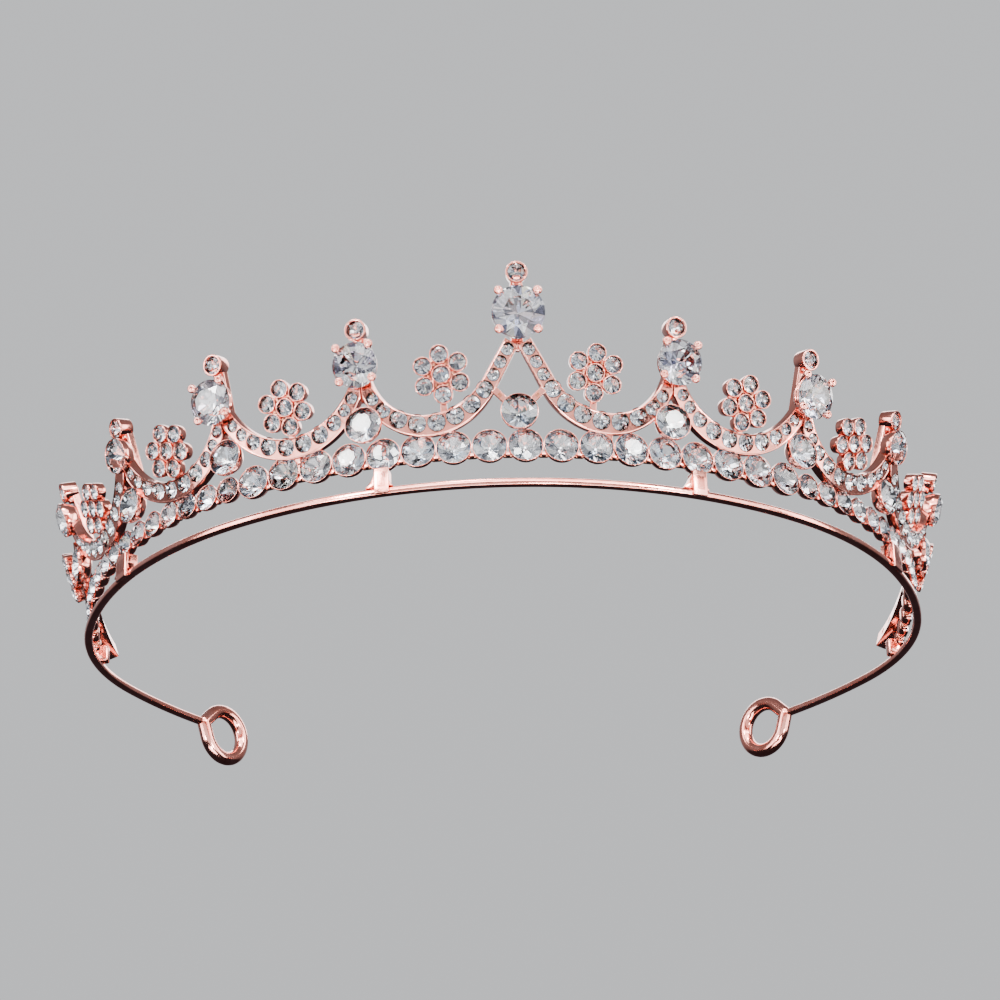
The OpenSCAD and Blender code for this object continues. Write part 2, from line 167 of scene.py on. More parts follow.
# ------------------------------------------------------------------ mesh building
class Piece:
    """Collects parts of one piece, then makes the Blender object that stands for its CAD node."""

    def __init__(self):
        self.v, self.f, self.m, self.t, self.n = [], [], [], [], 0

    def add(self, verts, faces, matrix=None, mat=0, painted_facet_light=None):
        v = np.asarray(verts, float)
        if matrix is not None:
            a = np.array(matrix, float)
            v = v @ a[:3, :3].T + a[:3, 3]
        self.v.append(v)
        self.f += [tuple(i + self.n for i in f) for f in faces]
        self.m += [mat] * len(faces) if isinstance(mat, int) else list(mat)
        self.t += [0.5] * len(faces) if painted_facet_light is None else list(painted_facet_light)
        self.n += len(v)

    def make(self, name, nodes, slot, mats, smooth=True, angle=35):
        me = bpy.data.meshes.new(name)
        me.from_pydata((np.concatenate(self.v) * MM).tolist(), [], self.f)
        for m in mats:
            me.materials.append(m)
        me.polygons.foreach_set("material_index", self.m)
        me.polygons.foreach_set("use_smooth", [smooth] * len(self.f))
        # This colour attribute carries each face's painted facet light: for stones the painted reflection
        # level, the pick of painted fire colour and a per-stone cast that no material reads; for metals a
        # neutral 0.5 that no material reads.
        attr = me.attributes.new("painted_facet_light", "FLOAT_COLOR", "CORNER")
        cols = []
        for f, t in zip(self.f, self.t):
            g = (t, t, t, 1.0) if not isinstance(t, tuple) else t
            cols += list(g) * len(f)
        attr.data.foreach_set("color", cols)
        me.update()
        if smooth:
            me.set_sharp_from_angle(angle=math.radians(angle))
        ob = bpy.data.objects.new(name, me)
        bpy.context.scene.collection.objects.link(ob)
        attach(ob, "root")
        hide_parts(*nodes)
        return ob


def rounded(points, radii, k=4):
    """A polyline with its inner corners rounded. radii is one number or one per point."""
    pts = [Vector(p) for p in points]
    rad = [radii] * len(pts) if isinstance(radii, (int, float)) else radii
    out = [tuple(pts[0])]
    for i in range(1, len(pts) - 1):
        a, b, c = pts[i - 1], pts[i], pts[i + 1]
        u, w = (a - b), (c - b)
        lu, lw = u.length, w.length
        if rad[i] <= 0 or lu < 1e-6 or lw < 1e-6:
            out.append(tuple(b))
            continue
        u, w = u / lu, w / lw
        cut = min(rad[i], lu * 0.48, lw * 0.48)
        p, q = b + u * cut, b + w * cut
        for j in range(k + 1):
            t = j / k
            out.append(tuple(p * (1 - t) ** 2 + b * 2 * t * (1 - t) + q * t * t))
    out.append(tuple(pts[-1]))
    return out


def lathe(profile, n=32):
    """Turned shape about the local Y axis from (radius, y) pairs; a radius of 0 closes it."""
    verts, rows = [], []
    for r, y in profile:
        if r < 1e-6:
            rows.append([len(verts)])
            verts.append((0, y, 0))
        else:
            rows.append(list(range(len(verts), len(verts) + n)))
            turn = [2 * math.pi * j / n for j in range(n)]
            verts += [(r * math.cos(a), y, r * math.sin(a)) for a in turn]
    faces = []
    for a, b in zip(rows, rows[1:]):
        for j in range(n):
            k = (j + 1) % n
            if len(a) == 1 and len(b) == 1:
                continue
            if len(a) == 1:
                faces.append((a[0], b[k], b[j]))
            elif len(b) == 1:
                faces.append((a[j], a[k], b[0]))
            else:
                faces.append((a[j], a[k], b[k], b[j]))
    return verts, faces


def tube(points, radii, n=12, closed=False):
    """Round wire along points, with a rounded end where a radius falls to 0."""
    p = np.asarray(points, float)
    m = len(p)
    r = np.full(m, float(radii)) if isinstance(radii, (int, float)) else np.asarray(radii, float)
    tan = np.roll(p, -1, 0) - np.roll(p, 1, 0) if closed else np.gradient(p, axis=0)
    tan /= np.linalg.norm(tan, axis=1)[:, None]
    up = np.array([0, 0, 1.0]) if abs(tan[0][2]) < 0.9 else np.array([1.0, 0, 0])
    u = np.cross(tan[0], up)
    u /= np.linalg.norm(u)
    verts = []
    for i in range(m):
        u = u - tan[i] * (u @ tan[i])
        u /= np.linalg.norm(u)
        w = np.cross(tan[i], u)
        for j in range(n):
            a = 2 * math.pi * j / n
            verts.append(p[i] + r[i] * (u * math.cos(a) + w * math.sin(a)))
    faces = []
    for i in range(m if closed else m - 1):
        k = (i + 1) % m
        for j in range(n):
            faces.append((i * n + j, i * n + (j + 1) % n, k * n + (j + 1) % n, k * n + j))
    if not closed:
        faces += [tuple(range(n))[::-1], tuple(range((m - 1) * n, m * n))]
    return verts, faces


def block(x0, x1, y0, y1, z0, z1, r=0.12, k=2):
    """A box with all its edges rounded."""
    cx, cy, cz = (x0 + x1) / 2, (y0 + y1) / 2, (z0 + z1) / 2
    hx, hy, hz = (x1 - x0) / 2, (y1 - y0) / 2, (z1 - z0) / 2
    r = min(r, hx * 0.98, hy * 0.98, hz * 0.98)
    m = 2 * k + 2
    steps = [(-1, i / k) for i in range(k + 1)] + [(1, i / k) for i in range(k + 1)]
    verts, index = [], {}

    def place(face, u, w):
        d = [0, 0, 0]
        a, b = [(1, 2), (1, 2), (0, 2), (0, 2), (0, 1), (0, 1)][face]
        c = face // 2
        d[c] = 1.0 if face % 2 else -1.0
        d[a], d[b] = u, w
        return d

    faces = []
    for face in range(6):
        base = {}
        for i in range(m):
            for j in range(m):
                si, ti = steps[i]
                sj, tj = steps[j]
                ai = (1 - ti if si < 0 else ti)
                aj = (1 - tj if sj < 0 else tj)
                u, w = si * math.tan(ai * math.pi / 4), sj * math.tan(aj * math.pi / 4)
                d = Vector(place(face, u, w)).normalized()
                core = place(face, si, sj)
                v = (cx + core[0] * (hx - r) + d[0] * r, cy + core[1] * (hy - r) + d[1] * r,
                     cz + core[2] * (hz - r) + d[2] * r)
                key = tuple(round(q, 5) for q in v)
                if key not in index:
                    index[key] = len(verts)
                    verts.append(v)
                base[i, j] = index[key]
        flip = (face in (0, 3, 4))
        for i in range(m - 1):
            for j in range(m - 1):
                q = [base[i, j], base[i + 1, j], base[i + 1, j + 1], base[i, j + 1]]
                q = list(dict.fromkeys(q))
                if len(q) > 2:
                    faces.append(tuple(q[::-1] if flip else q))
    return verts, faces


def prism(outline, y0, y1, r=0.12, k=2):
    """An outline in XZ (counter-clockwise, convex) given thickness along Y, its edges rounded."""
    pts = [Vector(p) for p in outline]
    c = sum(pts, Vector((0, 0))) / len(pts)
    rings = []
    for j in range(k + 1):
        a = j / k * math.pi / 2
        rings.append((r * (1 - math.sin(a)), y0 + r * (1 - math.cos(a))))
    rings += [(i, y1 - (y - y0)) for i, y in rings[::-1]]
    verts, n = [], len(pts)
    for inset, y in rings:
        for p in pts:
            d = (c - p)
            verts.append((p[0] + d[0] / d.length * inset * 1.3, y, p[1] + d[1] / d.length * inset * 1.3))
    faces = [tuple(range(n))]
    for i in range(len(rings) - 1):
        for j in range(n):
            q = (j + 1) % n
            faces.append((i * n + j, (i + 1) * n + j, (i + 1) * n + q, i * n + q))
    faces.append(tuple(range((len(rings) - 1) * n, len(rings) * n))[::-1])
    return verts, faces


# ------------------------------------------------------------------ stones
CROWN, PAVILION = 0, 1          # material numbers of a stone's clear top and silvered back
CULET_CORNERS = 8


def gem(d, table, crown, pav, culet, sub=2, star=0.5, lower=0.78, girdle=0.02):
    """Round brilliant, girdle in the XZ plane, table towards -Y: vertices, faces, and each face's material.
    crown, pav and girdle are shares of the diameter, table and culet of the radius. star and lower say how
    far the star and lower half facets reach, and sub is the number of girdle steps to one half facet."""
    R = d / 2
    hc, hp, g = crown * d, pav * d, girdle * d
    verts, faces, kind = [], [], []
    e = math.pi / 8

    def at(r, a, y):
        return r * math.cos(a), y, r * math.sin(a)

    def put(p):
        verts.append(p)
        return len(verts) - 1

    def facet(material, *corners):
        faces.append(corners)
        kind.append(material)

    rt = table * R
    tab = [put(at(rt, 2 * k * e, -hc - g / 2)) for k in range(8)]
    rs = (rt + star * (R - rt)) / math.cos(e)
    hs = -g / 2 - hc * (R - rs * math.cos(e)) / (R - rt)
    side = [put(at(rs, (2 * k + 1) * e, hs)) for k in range(8)]

    def rim(y0, tips):
        """Girdle points at 16*sub places: those between facet corners stay in the facet's plane."""
        ring = []
        for j in range(16):
            a0, a1 = j * e, (j + 1) * e
            c = verts[tips[(j // 2) % 8]]
            p0, p1 = Vector(at(R, a0, y0)), Vector(at(R, a1, y0))
            nrm = (p1 - p0).cross(Vector(c) - p0)
            for q in range(sub):
                a = a0 + (a1 - a0) * q / sub
                x, z = R * math.cos(a), R * math.sin(a)
                y = y0 if q == 0 else p0.y - (nrm.x * (x - p0.x) + nrm.z * (z - p0.z)) / nrm.y
                ring.append(put((x, y, z)))
        return ring

    top = rim(-g / 2, side)
    rc = culet * R
    cul = [put(at(rc, 2 * k * e, g / 2 + hp)) for k in range(8)]
    rl = (R - lower * (R - rc)) / math.cos(e)
    hl = g / 2 + hp * (R - rl * math.cos(e)) / (R - rc)
    low = [put(at(rl, (2 * k + 1) * e, hl)) for k in range(8)]
    bot = rim(g / 2, low)
    n = 16 * sub
    steps = range(sub + 1)
    facet(CROWN, *tab)
    for k in range(8):
        k1 = (k + 1) % 8
        g0, gm, g1 = 2 * k * sub, (2 * k + 1) * sub, (2 * k + 2) * sub
        facet(CROWN, tab[k], side[k], tab[k1])
        facet(CROWN, tab[k], side[k - 1], top[g0], side[k])
        facet(CROWN, side[k], *(top[(g0 + q) % n] for q in steps))
        facet(CROWN, side[k], *(top[(gm + q) % n] for q in steps))
        facet(PAVILION, cul[k], low[k], bot[g0], low[k - 1])
        facet(PAVILION, cul[k1], low[k], cul[k])
        facet(PAVILION, low[k], *(bot[(gm - q) % n] for q in steps))
        facet(PAVILION, low[k], *(bot[(g1 - q) % n] for q in steps))
    facet(PAVILION, *cul[::-1])
    for j in range(n):
        q = (j + 1) % n
        facet(CROWN, top[j], bot[j], bot[q], top[q])
    return verts, faces, kind


def add_stone(piece, shape, matrix, turn=0.0, wobble=0.0):
    """Sets one stone, turned about its axis, with a slightly uneven seat and its own painted facet light: a
    painted dark or bright reflection and a painted fire colour on each facet.
    """
    verts, faces, kind = shape
    m = matrix @ Matrix.Rotation(math.radians(turn), 4, "Y")
    if wobble:
        m = m @ Matrix.Rotation(math.radians(rng.uniform(-wobble, wobble)), 4, "X") \
              @ Matrix.Rotation(math.radians(rng.uniform(-wobble, wobble)), 4, "Z")
    cast = rng.uniform(0, 1)
    longest = max(len(f) for f, k in zip(faces, kind) if k == PAVILION and len(f) != CULET_CORNERS)
    painted_facet_light = []
    count = 0
    for f, k in zip(faces, kind):
        # dark is the chance that a facet gets a painted dark reflection instead of a painted bright one.
        dark = 0.12
        if k == PAVILION and len(f) == longest:
            # Every other one of the pavilion facets with the most corners is likely to get a painted dark
            # reflection.
            count += 1
            dark = 0.62 if count % 2 else 0.10
        painted_reflection_level = rng.uniform(0.0, 0.25) if rng.random() < dark else rng.uniform(0.55, 1.0)
        painted_facet_light.append((painted_reflection_level, rng.uniform(0, 1), cast, 1.0))
    piece.add(verts, faces, m, kind, painted_facet_light)


# ------------------------------------------------------------------ materials
def new_material(name):
    m = bpy.data.materials.new(name)
    m.use_nodes = True
    nt = m.node_tree
    nt.nodes.clear()
    out = nt.nodes.new("ShaderNodeOutputMaterial")
    sh = nt.nodes.new("ShaderNodeBsdfPrincipled")
    nt.links.new(sh.outputs[0], out.inputs[0])
    return m, nt, sh


def noise(nt, scale, detail=3.0, rough=0.55):
    tc = nt.nodes.new("ShaderNodeTexCoord")
    n = nt.nodes.new("ShaderNodeTexNoise")
    n.inputs["Scale"].default_value = scale
    n.inputs["Detail"].default_value = detail
    n.inputs["Roughness"].default_value = rough
    nt.links.new(tc.outputs["Object"], n.inputs["Vector"])
    return n


def ramp(nt, src, stops):
    r = nt.nodes.new("ShaderNodeValToRGB")
    nt.links.new(src, r.inputs[0])
    el = r.color_ramp.elements
    while len(el) < len(stops):
        el.new(0.5)
    for e, (p, c) in zip(el, stops):
        e.position = p
        e.color = (*c, 1) if len(c) == 3 else c
    return r


def remap(nt, src, lo, hi, a=0.0, b=1.0):
    n = nt.nodes.new("ShaderNodeMapRange")
    nt.links.new(src, n.inputs["Value"])
    for k, v in (("From Min", a), ("From Max", b), ("To Min", lo), ("To Max", hi)):
        n.inputs[k].default_value = v
    return n


def multiply(nt, a, b, amount=1.0):
    """Two colours multiplied: the socket of the result."""
    mix = nt.nodes.new("ShaderNodeMix")
    mix.data_type, mix.blend_type = "RGBA", "MULTIPLY"
    mix.inputs[0].default_value = amount
    nt.links.new(a, mix.inputs["A"])
    nt.links.new(b, mix.inputs["B"])
    return mix.outputs["Result"]


def blend_of(low, high, share):
    """A colour a share of the way from low to high."""
    return tuple((1 - share) * a + share * b for a, b in zip(low, high))


def metal(name, dark, mid, light, r0, r1, bump=0.25):
    """Polished plating: colour clouds, finer specks of wear, cast grain in the bump."""
    m, nt, sh = new_material(name)
    big = noise(nt, 420, 4)
    col = ramp(nt, big.outputs["Fac"], [(0.30, dark), (0.52, mid), (0.72, light)])
    fine = noise(nt, 3600, 5, 0.62)
    spots = ramp(nt, fine.outputs["Fac"], [(0.30, (0.62, 0.48, 0.44)), (0.46, (1, 1, 1))])
    nt.links.new(multiply(nt, col.outputs[0], spots.outputs[0], 0.35), sh.inputs["Base Color"])
    rr = remap(nt, fine.outputs["Fac"], r0, r1, 0.3, 0.7)
    nt.links.new(rr.outputs[0], sh.inputs["Roughness"])
    sh.inputs["Metallic"].default_value = 1.0
    soft = noise(nt, 1500, 3, 0.5)
    bp = nt.nodes.new("ShaderNodeBump")
    bp.inputs["Strength"].default_value = bump
    bp.inputs["Distance"].default_value = 0.00006
    nt.links.new(soft.outputs["Fac"], bp.inputs["Height"])
    nt.links.new(bp.outputs[0], sh.inputs["Normal"])
    return m


def clear(name, ior, tint_a, tint_b):
    """The clear top of a stone: smooth, with faint clouds of colour and the lightest waviness."""
    m, nt, sh = new_material(name)
    n = noise(nt, 700, 2)
    col = ramp(nt, n.outputs["Fac"], [(0.3, tint_a), (0.7, tint_b)])
    nt.links.new(col.outputs[0], sh.inputs["Base Color"])
    rr = remap(nt, n.outputs["Fac"], 0.0, 0.03, 0.45, 0.8)
    nt.links.new(rr.outputs[0], sh.inputs["Roughness"])
    sh.inputs["Transmission Weight"].default_value = 1.0
    sh.inputs["IOR"].default_value = ior
    return m


def foil(name, low, high, painted_fire, rough=0.05):
    """The silvered back facets: each facet has its own painted brightness, a painted dark or bright
    reflection, and a few carry a painted colour of fire.
    """
    m, nt, sh = new_material(name)
    at = nt.nodes.new("ShaderNodeAttribute")
    at.attribute_name = "painted_facet_light"
    sep = nt.nodes.new("ShaderNodeSeparateColor")
    nt.links.new(at.outputs["Color"], sep.inputs[0])
    # Each facet's painted reflection level runs from the low colour, a painted dark reflection, to the high
    # colour, a painted full reflection.
    base = ramp(nt, sep.outputs[0], [(0.0, low), (0.28, blend_of(low, high, 0.4)),
                                     (0.5, blend_of(low, high, 0.85)), (1.0, high)])
    # A few facets take a painted fire colour, painted coloured light of dispersion.
    painted_fire_ramp = ramp(nt, sep.outputs[1], painted_fire)
    painted_fire_ramp.color_ramp.interpolation = "CONSTANT"
    cloud = noise(nt, 900, 3)
    soft = ramp(nt, cloud.outputs["Fac"], [(0.3, (0.93, 0.94, 0.96)), (0.6, (1, 1, 1))])
    painted_fire_facets = multiply(nt, base.outputs[0], painted_fire_ramp.outputs[0])
    nt.links.new(multiply(nt, painted_fire_facets, soft.outputs[0]), sh.inputs["Base Color"])
    sh.inputs["Metallic"].default_value = 1.0
    rr = remap(nt, cloud.outputs["Fac"], rough * 0.5, rough * 1.6, 0.3, 0.7)
    nt.links.new(rr.outputs[0], sh.inputs["Roughness"])
    return m


ROSE = metal("rose_gold", (0.68, 0.225, 0.165), (0.81, 0.305, 0.240), (0.88, 0.385, 0.320), 0.08, 0.18)
# A darker, rougher copy of the rose gold for seat walls, gaps between parts, dimples and other hollows:
# painted shade.
PAINTED_SHADE_GOLD = metal("rose_gold_painted_shade", (0.34, 0.10, 0.055), (0.52, 0.19, 0.12), (0.66, 0.28, 0.19), 0.22, 0.40)
GLASS = clear("rhinestone_top", 1.48, (0.97, 0.975, 1.0), (1.0, 1.0, 1.0))
# The rhinestone foil: painted dark to painted full reflection per facet, with painted fire colours.
FOIL = foil("rhinestone_foil_painted_light", (0.12, 0.13, 0.16), (1.0, 1.0, 1.0),
            [(0.0, (1, 1, 1)), (0.80, (0.80, 0.90, 1.0)), (0.90, (1.0, 0.88, 0.86)),
             (0.96, (1.0, 0.96, 0.80))])
CZ = clear("brilliant_top", 1.72, (0.985, 0.975, 0.985), (1.0, 1.0, 1.0))
# The brilliants' backs: the same painted facet reflections and painted fire colours.
CZ_BACK = foil("brilliant_back_painted_light", (0.12, 0.12, 0.17), (1.0, 1.0, 1.0),
               [(0.0, (1, 1, 1)), (0.62, (0.86, 0.88, 1.0)), (0.76, (1.0, 0.86, 0.85)),
                (0.88, (0.93, 0.86, 1.0)), (0.95, (1.0, 0.95, 0.78))], 0.03)
METAL = [ROSE, PAINTED_SHADE_GOLD]
STONE = [GLASS, FOIL]
BRILLIANT = [CZ, CZ_BACK]


# ------------------------------------------------------------------ settings
def cup(d, rim=0.1, deep=None, lip=0.10):
    """Cup of a chain or a peak: thin lip round the girdle, bellied wall, closed back."""
    deep = 0.42 * d if deep is None else deep
    R, o = d / 2, d / 2 + rim
    b = 0.36 * d + rim
    prof = [(R + 0.015, 0.16), (R + 0.015, -lip), (o, -lip), (o + 0.01, 0.30 * deep), (b + 0.06, 0.86 * deep),
            (b - 0.30 * b, deep), (0, deep)]
    prof = rounded(prof, [0, 0.05, 0.06, 0.5, 0.35, 0.3, 0], 3)
    inner = [(0, deep - 0.04), (0.2 * d, deep - 0.05), (0.42 * d, 0.45 * deep), (R + 0.015, 0.16)]
    return lathe(inner + prof[1:], 36)


def bezel(r, d, deep, foot=None):
    """Bezel of a flower or finial: wall with a rounded lip standing a little above the stone's edge."""
    foot = r - 0.18 if foot is None else foot
    inn = d / 2 + 0.02
    prof = [(0, 0.75 * deep), (inn * 0.5, 0.75 * deep), (inn, SEAT + 0.05), (inn + 0.015, 0.02),
            (inn + 0.05, -0.035), ((inn + r) / 2, -0.055), (r - 0.04, -0.03), (r, 0.05),
            (r - 0.01, 0.3 * deep), (foot, deep), (0, deep)]
    return lathe(rounded(prof, [0, 0.05, 0.05, 0.03, 0.03, 0.05, 0.04, 0.1, 0.2, 0.1, 0], 2), 28)


# ------------------------------------------------------------------ headband
def sweep_band():
    p = Piece()
    n = 24
    w, h, e = BAND_W / 2 - 0.01, BAND_H / 2, 3.2
    total = whole_length()
    stations = np.linspace(-total, total, 385)
    verts = []
    for s in stations:
        m = stand(float(s), 0, arcs=ARCS)
        for j in range(n):
            a = 2 * math.pi * (j + 0.5) / n
            ca, sa = math.cos(a), math.sin(a)
            k = (abs(ca) ** e + abs(sa) ** e) ** (-1 / e)
            q = m @ Vector((0, w * k * ca, h * k * sa))
            verts.append(tuple(q))
    faces = []
    for i in range(len(stations) - 1):
        for j in range(n):
            faces.append((i * n + j, i * n + (j + 1) % n, (i + 1) * n + (j + 1) % n, (i + 1) * n + j))
    faces += [tuple(range(n))[::-1], tuple(range((len(stations) - 1) * n, len(stations) * n))]
    p.add(verts, faces)
    p.make("headband_wire", ["headband"], "rose_gold", METAL)


def end_loop(side):
    """Drop-shaped loop of round wire in the plane of Z and the band's end, with its solder."""
    total = whole_length()
    m = stand(side * total, 0, arcs=ARCS)
    if side < 0:
        m = m @ Matrix.Rotation(math.pi, 4, "Z")
    ahead = LOOP_REACH - 0.8
    far = math.hypot(ahead, LOOP_DROP)
    opening = math.acos(LOOP_R / far)
    down = math.atan2(LOOP_DROP, ahead)
    pts = []
    for i in range(61):
        a = math.pi - down + opening + (2 * math.pi - 2 * opening) * i / 60
        pts.append((LOOP_REACH + LOOP_R * math.cos(a), 0, -LOOP_DROP + LOOP_R * math.sin(a)))
    a0, a1 = pts[0], pts[-1]
    corner = (0.75, 0, 0)
    lead = [tuple(Vector(corner).lerp(Vector(a0), t)) for t in (0.06, 0.35, 0.7)]
    back = [tuple(Vector(a1).lerp(Vector(corner), t)) for t in (0.3, 0.65, 0.94)]
    p = Piece()
    p.add(*tube([corner] + lead + pts + back, LOOP_WIRE, 20, closed=True), m)
    blob = [(0.0, 0.0, 0.05), (0.35, 0.0, 0.02), (0.9, 0, 0), (1.5, 0, -0.1), (1.95, 0, -0.2)]
    p.add(*tube(blob, [0.45, 0.78, 1.0, 0.86, 0.3], 18), m)
    name = side_name(side)
    p.make("end_loop_" + name, ["loop_" + name], "rose_gold", METAL, angle=60)


# ------------------------------------------------------------------ posts
def post(s, wide, name, node, braced=False):
    """Folded tab in front of the band with webs into it, and a foot under the rail."""
    p = Piece()
    m = stand(s, 0, arcs=ARCS)
    w, h = BAND_W / 2, BAND_H / 2
    k = 1 if s >= 0 else -1
    front = -w - 0.5
    p.add(*block(-wide / 2, wide / 2, front, -w + 0.02, -h + 0.02, 3.3, 0.16, 3), m)
    p.add(*block(-wide / 2 + 0.12, wide / 2 - 0.12, -w - 0.1, w + 0.4, h - 0.02, 3.25, 0.2, 3), m)
    p.add(*block(-wide / 2 + 0.3, wide / 2 - 0.3, front, front + 0.3, 0.2, 2.5, 0.14, 3), m)
    web = [(0, h), (1.45, h), (0.75, 1.5), (0, 2.85)]
    small = [(0, h), (0.6, h), (0.25, 1.1), (0, 1.7)]
    for sgn, shape in ((-1, web), (1, small)):
        pts = [(sgn * (wide / 2 - 0.12 + x), z) for x, z in shape]
        if sgn > 0:
            pts = pts[::-1]
        p.add(*prism(pts, -w - 0.05, 0.35, 0.1), m, 0)
    if braced:
        # The brace dimples take the darker gold: painted shade in the dimples.
        for x, z, r in ((-wide / 2 - 0.42, 0.86, 0.17), (-wide / 2 - 0.15, 1.55, 0.14)):
            p.add(*lathe([(0, -0.02), (r, -0.02), (r, 0.08), (0, 0.08)], 14),
                  m @ Matrix.Translation((x, -w - 0.05, z)), 1)
    p.make(name, [node], "rose_gold", METAL)


# ------------------------------------------------------------------ rails
def rail_front():
    p, q = Piece(), Piece()
    shape = cup(RAIL_D)
    cut = gem(RAIL_D, 0.52, 0.17, 0.385, 0.05, 2, 0.42, 0.72)
    for k in range(-RAIL_HALF, RAIL_HALF + 1):
        m = stand(k * PITCH + SHIFT, RAIL_Z, RAIL_OUT)
        p.add(*shape, m)
        add_stone(q, cut, m, rng.uniform(0, 45), 3)
        if k < RAIL_HALF:
            m = stand((k + 0.5) * PITCH + SHIFT, RAIL_Z, RAIL_OUT)
            p.add(*lathe([(0, -0.12), (0.3, -0.06), (0.42, 0.18), (0.42, 0.5), (0.2, 0.9), (0, 0.95)], 14),
                  m @ Matrix.Translation((0, 0.12, -1.32)))
            # The block behind the gap between two cups takes the darker gold: painted shade between the cups.
            p.add(*block(-0.7, 0.7, 0.25, 1.0, -1.65, -0.95, 0.25, 3), m, 1)
    p.make("chain_front", ["rail_front"], "rose_gold", METAL)
    q.make("chain_stones_front", ["rail_stones_front"], "rhinestone", STONE, smooth=False)


def rail_side(side):
    p, q = Piece(), Piece()
    for i in range(SMALL_N):
        s, d = small_s(i), small_d(i)
        m = stand(side * s + SHIFT, small_z(s), RAIL_OUT)
        p.add(*cup(d), m)
        add_stone(q, gem(d, 0.52, 0.16, 0.38, 0.05, 2, 0.42, 0.72), m, rng.uniform(0, 45), 4)
        if i < SMALL_N - 1:
            t = (s + small_s(i + 1)) / 2
            m = stand(side * t + SHIFT, small_z(t), RAIL_OUT)
            # The block behind the gap between two cups takes the darker gold: painted shade between the cups.
            p.add(*block(-0.6, 0.6, 0.2, 1.0, -0.25 * d - 0.38, -0.25 * d + 0.38, 0.25, 3), m, 1)
            p.add(*lathe([(0, -0.1), (0.26, -0.05), (0.36, 0.16), (0.36, 0.45), (0.18, 0.8), (0, 0.85)], 12),
                  m @ Matrix.Translation((0, 0.1, -0.33 * d)))
    s = small_s(SMALL_N - 1) + small_d(SMALL_N - 1) / 2 + 0.3
    m = stand(side * s + SHIFT, BAND_H / 2, RAIL_OUT)
    top = small_z(s) - BAND_H / 2 + 0.4
    x0 = -2.05 if side > 0 else 0.35
    p.add(*block(x0, x0 + 1.7, 0.15, 2.25, 0.0, top, 0.4, 3), m)
    n = side_name(side)
    p.make("chain_" + n, ["rail_" + n], "rose_gold", METAL)
    q.make("chain_stones_" + n, ["rail_stones_" + n], "rhinestone", STONE, smooth=False)


# ------------------------------------------------------------------ festoons
RUN_A = ([2.5, 2.5, 2.5, 2.4, 1.75, 1.75, 1.75], [2.5, 2.5, 2.1, 1.8])
RUN_B = ([2.5, 2.5, 2.2, 1.75, 1.65],) * 2


def run_stones(b):
    """Stones of festoon b as (s, z, diameter), from its low point outward each way."""
    out = []
    for up in (0, 1):
        prev = None
        for d in (RUN_A if b == 0 else RUN_B)[up]:
            l = 0.1 + d / 2 if prev is None else l + (prev + d) / 2 + 0.2
            s, z, a = bay_point(b, l if up else -l)
            out.append((s, z, d))
            prev = d
    return out


def casting(p, loop_at, holes, side):
    """A cast strip on the leaning face. loop_at(inset) gives its outline as (s, z) pairs, and holes are the
    stone seats as (s, z, diameter)."""
    prof = [(0.10, CAST), (0.0, CAST - 0.12), (0.0, 0.16), (0.03, 0.05), (0.11, 0.0), (0.20, 0.01),
            (0.27, 0.07)]
    rings = [loop_at(i) for i, _ in prof]
    n = len(rings[0])
    verts = np.concatenate([lean_points(r, y, side) for r, (_, y) in zip(rings, prof)])
    faces = []
    for i in range(len(prof) - 1):
        for j in range(n):
            k = (j + 1) % n
            q = (i * n + j, (i + 1) * n + j, (i + 1) * n + k, i * n + k)
            faces.append(q if side > 0 else q[::-1])
    p.add(verts, faces)
    for inset, y, mat, back in ((0.27, 0.07, 0, False), (0.10, CAST, 0, True)):
        rim = [Vector(q) for q in loop_at(inset)]
        pts, edges = list(rim), [(j, (j + 1) % len(rim)) for j in range(len(rim))]
        hs = [(s, z, (d / 2 + 0.045) * (0.5 if back else 1.0)) for s, z, d in holes]
        for s, z, r in hs:
            b0, c = len(pts), 20
            pts += [Vector((s + r * math.cos(2 * math.pi * j / c), z + r * math.sin(2 * math.pi * j / c)))
                    for j in range(c)]
            edges += [(b0 + j, b0 + (j + 1) % c) for j in range(c)]
        vo, _, fo, *_ = delaunay_2d_cdt(pts, edges, [tuple(range(len(rim)))], 1, 1e-5)
        keep = []
        for f in fo:
            cx = sum(vo[i][0] for i in f) / len(f)
            cz = sum(vo[i][1] for i in f) / len(f)
            if all((cx - s) ** 2 + (cz - z) ** 2 > (r * 0.985) ** 2 for s, z, r in hs):
                keep.append(tuple(f) if (side > 0) != back else tuple(f)[::-1])
        p.add(lean_points([tuple(v) for v in vo], y, side), keep, None, mat)
        # The walls of the stone seats take the darker gold: painted shade in the seats.
        for s, z, r in hs:
            c = 20
            depth = -0.30 if back else 1.07
            rings2 = []
            for rr, yy in ((r + 0.005, y), (r - 0.02, y + depth * 0.2), (r - 0.03, y + depth)):
                turn = [2 * math.pi * j / c for j in range(c)]
                rings2.append([(s + rr * math.cos(a), z + rr * math.sin(a)) for a in turn])
            vv = np.concatenate([lean_points(q, yy, side) for q, yy in
                                 zip(rings2, (y, y + depth * 0.2, y + depth))])
            ff = [(i * c + j, i * c + (j + 1) % c, (i + 1) * c + (j + 1) % c, (i + 1) * c + j)
                  for i in range(2) for j in range(c)]
            ff.append(tuple(range(2 * c, 3 * c)))
            p.add(vv, ff, None, 1)


